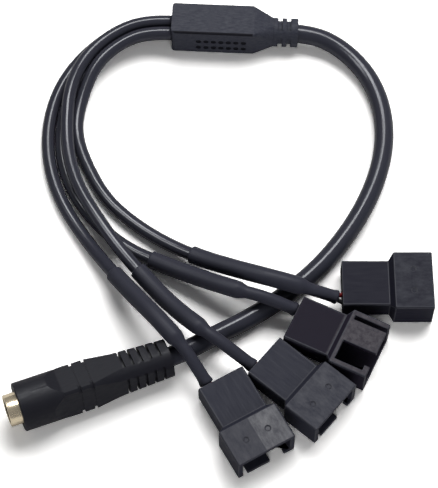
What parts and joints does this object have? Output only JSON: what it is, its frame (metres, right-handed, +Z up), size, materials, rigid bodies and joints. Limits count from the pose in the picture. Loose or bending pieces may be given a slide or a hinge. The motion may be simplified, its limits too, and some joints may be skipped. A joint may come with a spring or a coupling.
{
  "type": "fan power adapter cable",
  "caption": "Splitter cable with a barrel jack socket at one end and keyed fan connectors on separate branches, to power case fans from one supply.",
  "frame": {"origin": "centre of the splitter's underside", "axes": "+X along the splitter towards the main cable, +Z up; the cable lies on the plane Z = 0"},
  "size_m": [0.0858, 0.1075, 0.0103],
  "materials": {
    "moulded_black": "satin moulded",
    "jacket_black": "glossy jacket",
    "shrink_black": "matt shrunk sleeve",
    "insulator_black": "satin",
    "contact_gold": "bright plated",
    "contact_tin": "bright tinned",
    "wire_red": "satin insulation",
    "wire_black": "satin insulation"
  },
  "bodies": {
    "root": {"black_wire_1": "wire_black", "black_wire_2": "wire_black", "black_wire_3": "wire_black", "black_wire_4": "wire_black", "branch_cable_1": "jacket_black", "branch_cable_2": "jacket_black", "branch_cable_3": "jacket_black", "branch_cable_4": "jacket_black", "connector_housing_1": "moulded_black", "connector_housing_2": "moulded_black", "connector_housing_3": "moulded_black", "connector_housing_4": "moulded_black", "ground_terminal_1": "contact_tin", "ground_terminal_2": "contact_tin", "ground_terminal_3": "contact_tin", "ground_terminal_4": "contact_tin", "heat_shrink_1": "shrink_black", "heat_shrink_2": "shrink_black", "heat_shrink_3": "shrink_black", "heat_shrink_4": "shrink_black", "jack_centre_pin": "contact_gold", "jack_insulator": "insulator_black", "jack_overmould": "moulded_black", "jack_sleeve": "contact_gold", "live_terminal_1": "contact_tin", "live_terminal_2": "contact_tin", "live_terminal_3": "contact_tin", "live_terminal_4": "contact_tin", "main_cable": "jacket_black", "red_wire_1": "wire_red", "red_wire_2": "wire_red", "red_wire_3": "wire_red", "red_wire_4": "wire_red", "splitter_body": "moulded_black"}
  },
  "joints": []
}
